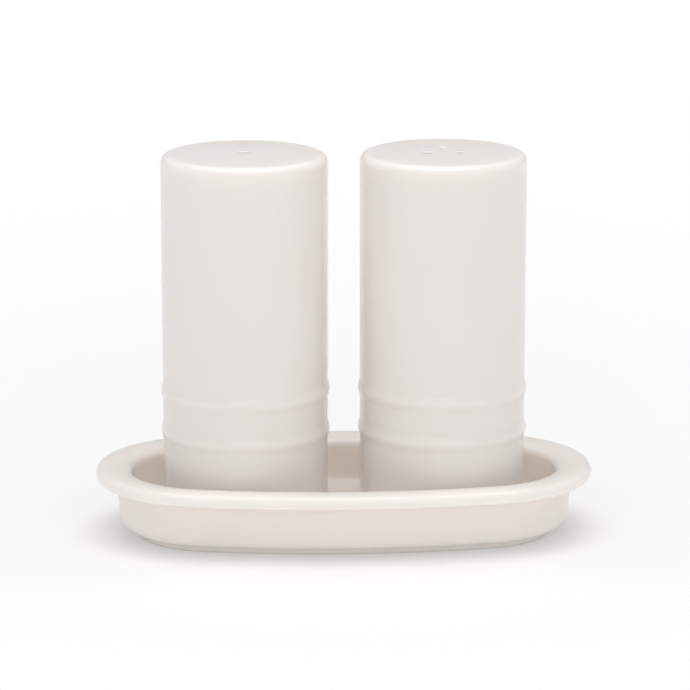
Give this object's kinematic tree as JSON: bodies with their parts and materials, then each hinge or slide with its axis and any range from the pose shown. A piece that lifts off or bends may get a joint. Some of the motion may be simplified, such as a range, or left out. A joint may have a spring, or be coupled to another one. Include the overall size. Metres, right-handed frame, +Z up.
{
  "type": "salt and pepper shaker set",
  "caption": "Glazed porcelain salt and pepper shakers, tall round and hollow with raised rings near the base, standing in an oval rimmed tray, filled from below through stoppered holes",
  "frame": {"origin": "under the middle of the tray, on the surface the tray stands on", "axes": "+Z up; X along the tray, through both shakers, with the pepper shaker on +X; Y across the tray, with -Y towards the front"},
  "size_m": [0.133, 0.0726, 0.1034],
  "materials": {
    "tray_porcelain": "clear glaze over white porcelain, unglazed foot ring",
    "shaker_porcelain": "clear glaze over white porcelain, unglazed standing ring",
    "stopper_rubber": "soft moulded rubber, matt"
  },
  "bodies": {
    "tray": {"tray": "tray_porcelain"},
    "salt_shaker": {"salt_shaker": "shaker_porcelain"},
    "pepper_shaker": {"pepper_shaker": "shaker_porcelain"},
    "salt_stopper": {"salt_stopper": "stopper_rubber"},
    "pepper_stopper": {"pepper_stopper": "stopper_rubber"}
  },
  "joints": [
    {"name": "salt_lift", "type": "slide", "parent": "tray", "child": "salt_shaker", "axis": [0, 0, 1], "range_m": [0, 0.1]},
    {"name": "pepper_lift", "type": "slide", "parent": "tray", "child": "pepper_shaker", "axis": [0, 0, 1], "range_m": [0, 0.1]},
    {"name": "salt_stopper_pull", "type": "slide", "parent": "salt_shaker", "child": "salt_stopper", "axis": [0, 0, -1], "range_m": [0, 0.0042]},
    {"name": "pepper_stopper_pull", "type": "slide", "parent": "pepper_shaker", "child": "pepper_stopper", "axis": [0, 0, -1], "range_m": [0, 0.0042]}
  ]
}
